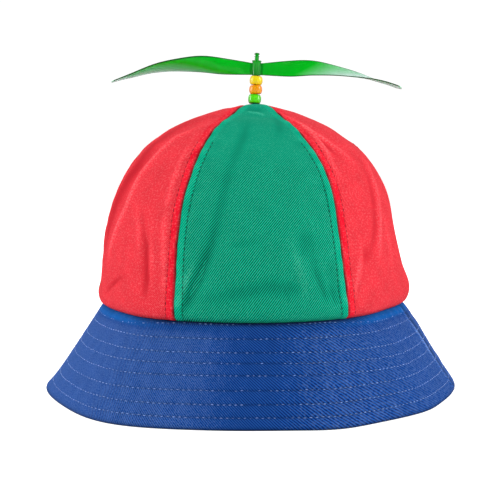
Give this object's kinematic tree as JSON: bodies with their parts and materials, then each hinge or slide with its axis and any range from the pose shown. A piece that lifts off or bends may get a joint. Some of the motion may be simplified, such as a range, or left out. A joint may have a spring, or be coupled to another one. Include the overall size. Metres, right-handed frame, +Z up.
{
  "type": "propeller cap",
  "caption": "Cloth cap of alternating green and red crown panels over a wide stitched blue brim, with a beaded post and a twisted-blade propeller that spins on its top.",
  "frame": {"origin": "on the table, under the middle of the brim's lower edge", "axes": "+Z up through the crown, -Y out of the front panel, +X to the right of someone who faces the front"},
  "size_m": [0.2524, 0.2525, 0.202],
  "materials": {
    "green_cloth": "cotton twill",
    "red_cloth": "cotton twill",
    "blue_cloth": "cotton twill",
    "green_plastic": "clear glossy",
    "lime_plastic": "glossy",
    "orange_plastic": "glossy",
    "yellow_plastic": "glossy"
  },
  "bodies": {
    "cap": {"crown_panel_front": "green_cloth", "crown_panel_front_right": "red_cloth", "crown_panel_rear_right": "green_cloth", "crown_panel_rear": "red_cloth", "crown_panel_rear_left": "green_cloth", "crown_panel_front_left": "red_cloth", "brim_front": "blue_cloth", "brim_rear": "blue_cloth", "post": "green_plastic", "bead_lime": "lime_plastic", "bead_orange": "orange_plastic", "bead_yellow": "yellow_plastic"},
    "propeller": {"propeller": "green_plastic"}
  },
  "joints": [
    {"name": "propeller_spin", "type": "hinge", "parent": "cap", "child": "propeller", "pos_m": [0.00398, 0, 0.19263], "axis": [0.0384, 0, 0.9993], "continuous": true}
  ]
}
